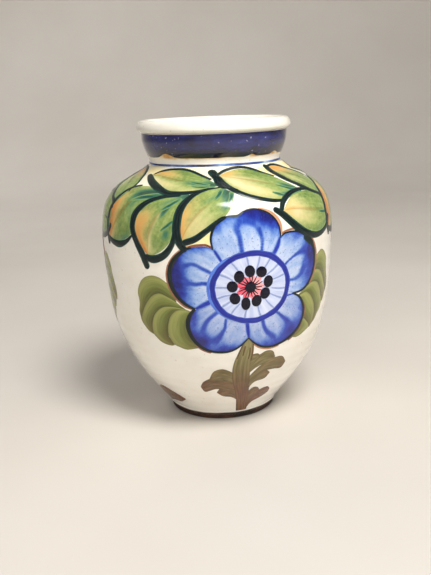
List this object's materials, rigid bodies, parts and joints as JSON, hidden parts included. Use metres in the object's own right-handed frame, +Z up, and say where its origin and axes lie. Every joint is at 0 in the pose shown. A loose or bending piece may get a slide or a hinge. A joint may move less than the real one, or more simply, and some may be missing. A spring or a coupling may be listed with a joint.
{
  "type": "pottery vase",
  "caption": "Round-shouldered talavera vase with a flared collar, a thick rolled lip and a foot ring, painted with a blue flower and green leaves.",
  "frame": {"origin": "centre of the face that the foot ring stands on", "axes": "+Z up along the vase's turning axis; -Y is the side with the large flower"},
  "size_m": [0.156, 0.156, 0.2],
  "materials": {
    "bare_clay": "bare fired earthenware, matt, darkened by handling",
    "tin_glaze": "glossy opaque warm-white tin glaze",
    "cobalt_glaze": "glossy dark cobalt glaze, brushed on and fired into the white"
  },
  "bodies": {
    "root": {"foot_ring": "bare_clay", "body": "tin_glaze", "collar": "cobalt_glaze", "lip": "tin_glaze"}
  },
  "joints": []
}
